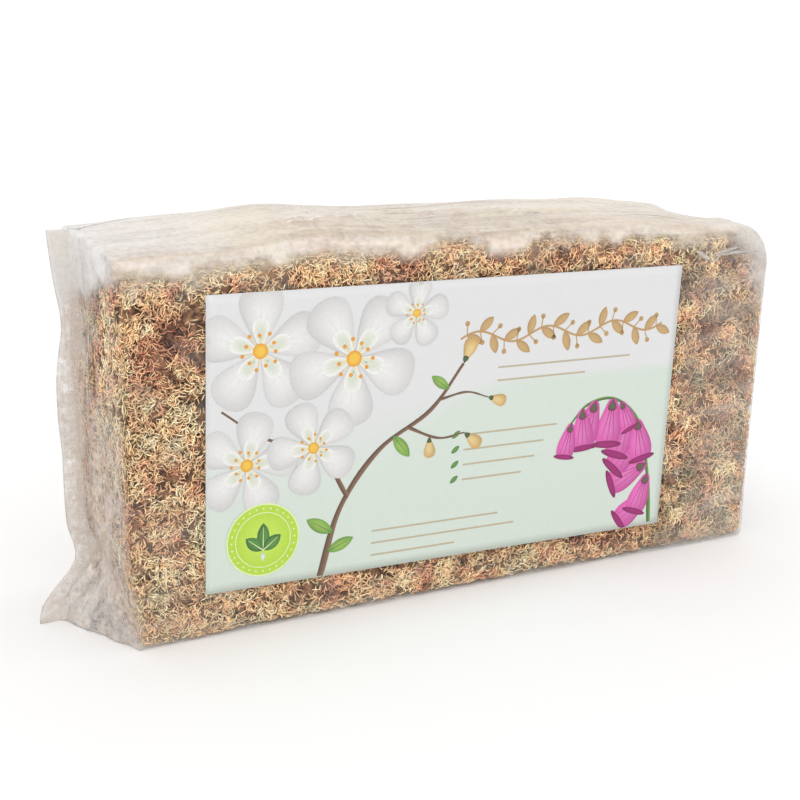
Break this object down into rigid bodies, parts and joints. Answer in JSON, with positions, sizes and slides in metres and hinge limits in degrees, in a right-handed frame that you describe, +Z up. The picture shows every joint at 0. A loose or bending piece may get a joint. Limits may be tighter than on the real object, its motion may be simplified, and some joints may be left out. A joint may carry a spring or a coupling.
{
  "type": "bagged sphagnum moss brick",
  "caption": "Pressed brick of dried sphagnum moss standing in a clear film bag, with a welded end, corner ears and a printed front label.",
  "frame": {"origin": "middle of the bounding box's foot, on the surface that the bag stands on", "axes": "+Z up, +X along the brick towards the end without ears, -Y out of the labelled front"},
  "size_m": [0.3172, 0.0778, 0.1582],
  "materials": {
    "moss": "matte dried plant strands, straw to rust brown",
    "film": "thin clear film, soft gloss, hazy where it stands off the moss",
    "label": "satin printed paper, pale green and white"
  },
  "bodies": {
    "root": {"moss_brick": "moss", "film_bag": "film", "printed_label": "label"}
  },
  "joints": []
}
